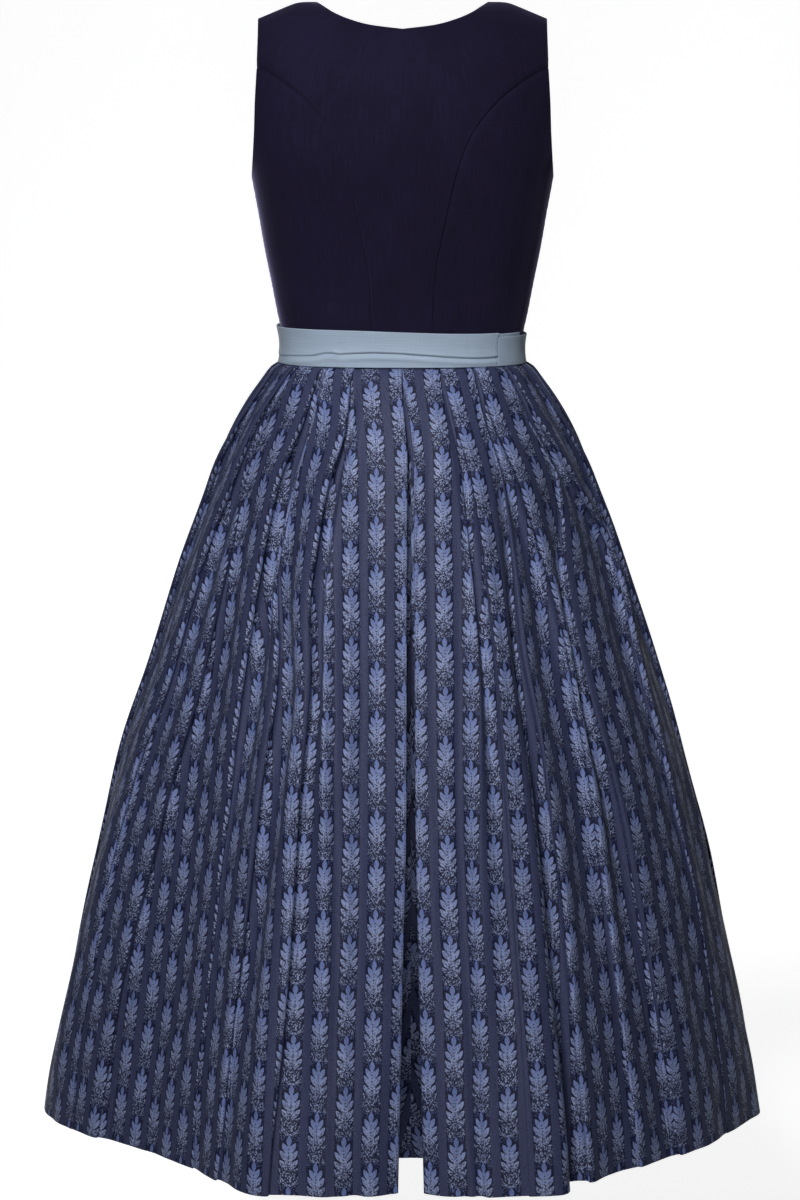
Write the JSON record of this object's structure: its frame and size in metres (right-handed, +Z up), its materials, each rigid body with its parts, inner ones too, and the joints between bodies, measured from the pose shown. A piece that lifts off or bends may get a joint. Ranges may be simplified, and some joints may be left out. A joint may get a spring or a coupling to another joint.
{
  "type": "dirndl",
  "caption": "Sleeveless midi dirndl in its worn, hollow form: dark navy bodice, full pleated navy skirt in a leaf jacquard, pale blue-grey apron tied round the waist.",
  "frame": {"origin": "midway between the two shoulder straps, at the height where they rest on the wearer's shoulders", "axes": "+Z is up along the standing wearer, the wearer faces -Y, so the back that the picture shows faces +Y, and +X is the wearer's left"},
  "size_m": [0.7255, 0.6707, 1.1153],
  "materials": {
    "bodice_cloth": "very dark navy linen-like weave, matt, with a fine upright grain",
    "skirt_jacquard": "navy jacquard with a low sheen: upright columns of small periwinkle leaves between plain dark stripes",
    "apron_cloth": "pale blue-grey slubby plain weave, softly shining"
  },
  "bodies": {
    "root": {"bodice_back": "bodice_cloth", "bodice_side_back_L": "bodice_cloth", "bodice_side_back_R": "bodice_cloth", "bodice_side_front_L": "bodice_cloth", "bodice_side_front_R": "bodice_cloth", "bodice_front_L": "bodice_cloth", "bodice_front_R": "bodice_cloth", "skirt_back_L": "skirt_jacquard", "skirt_back_R": "skirt_jacquard", "skirt_side_L": "skirt_jacquard", "skirt_side_R": "skirt_jacquard", "skirt_front_L": "skirt_jacquard", "skirt_front_R": "skirt_jacquard", "apron_panel": "apron_cloth", "apron_waistband": "apron_cloth", "apron_tie_over": "apron_cloth", "apron_tie_under": "apron_cloth", "bow_knot": "apron_cloth", "bow_loop_L": "apron_cloth", "bow_loop_R": "apron_cloth", "bow_end_L": "apron_cloth", "bow_end_R": "apron_cloth"}
  },
  "joints": []
}
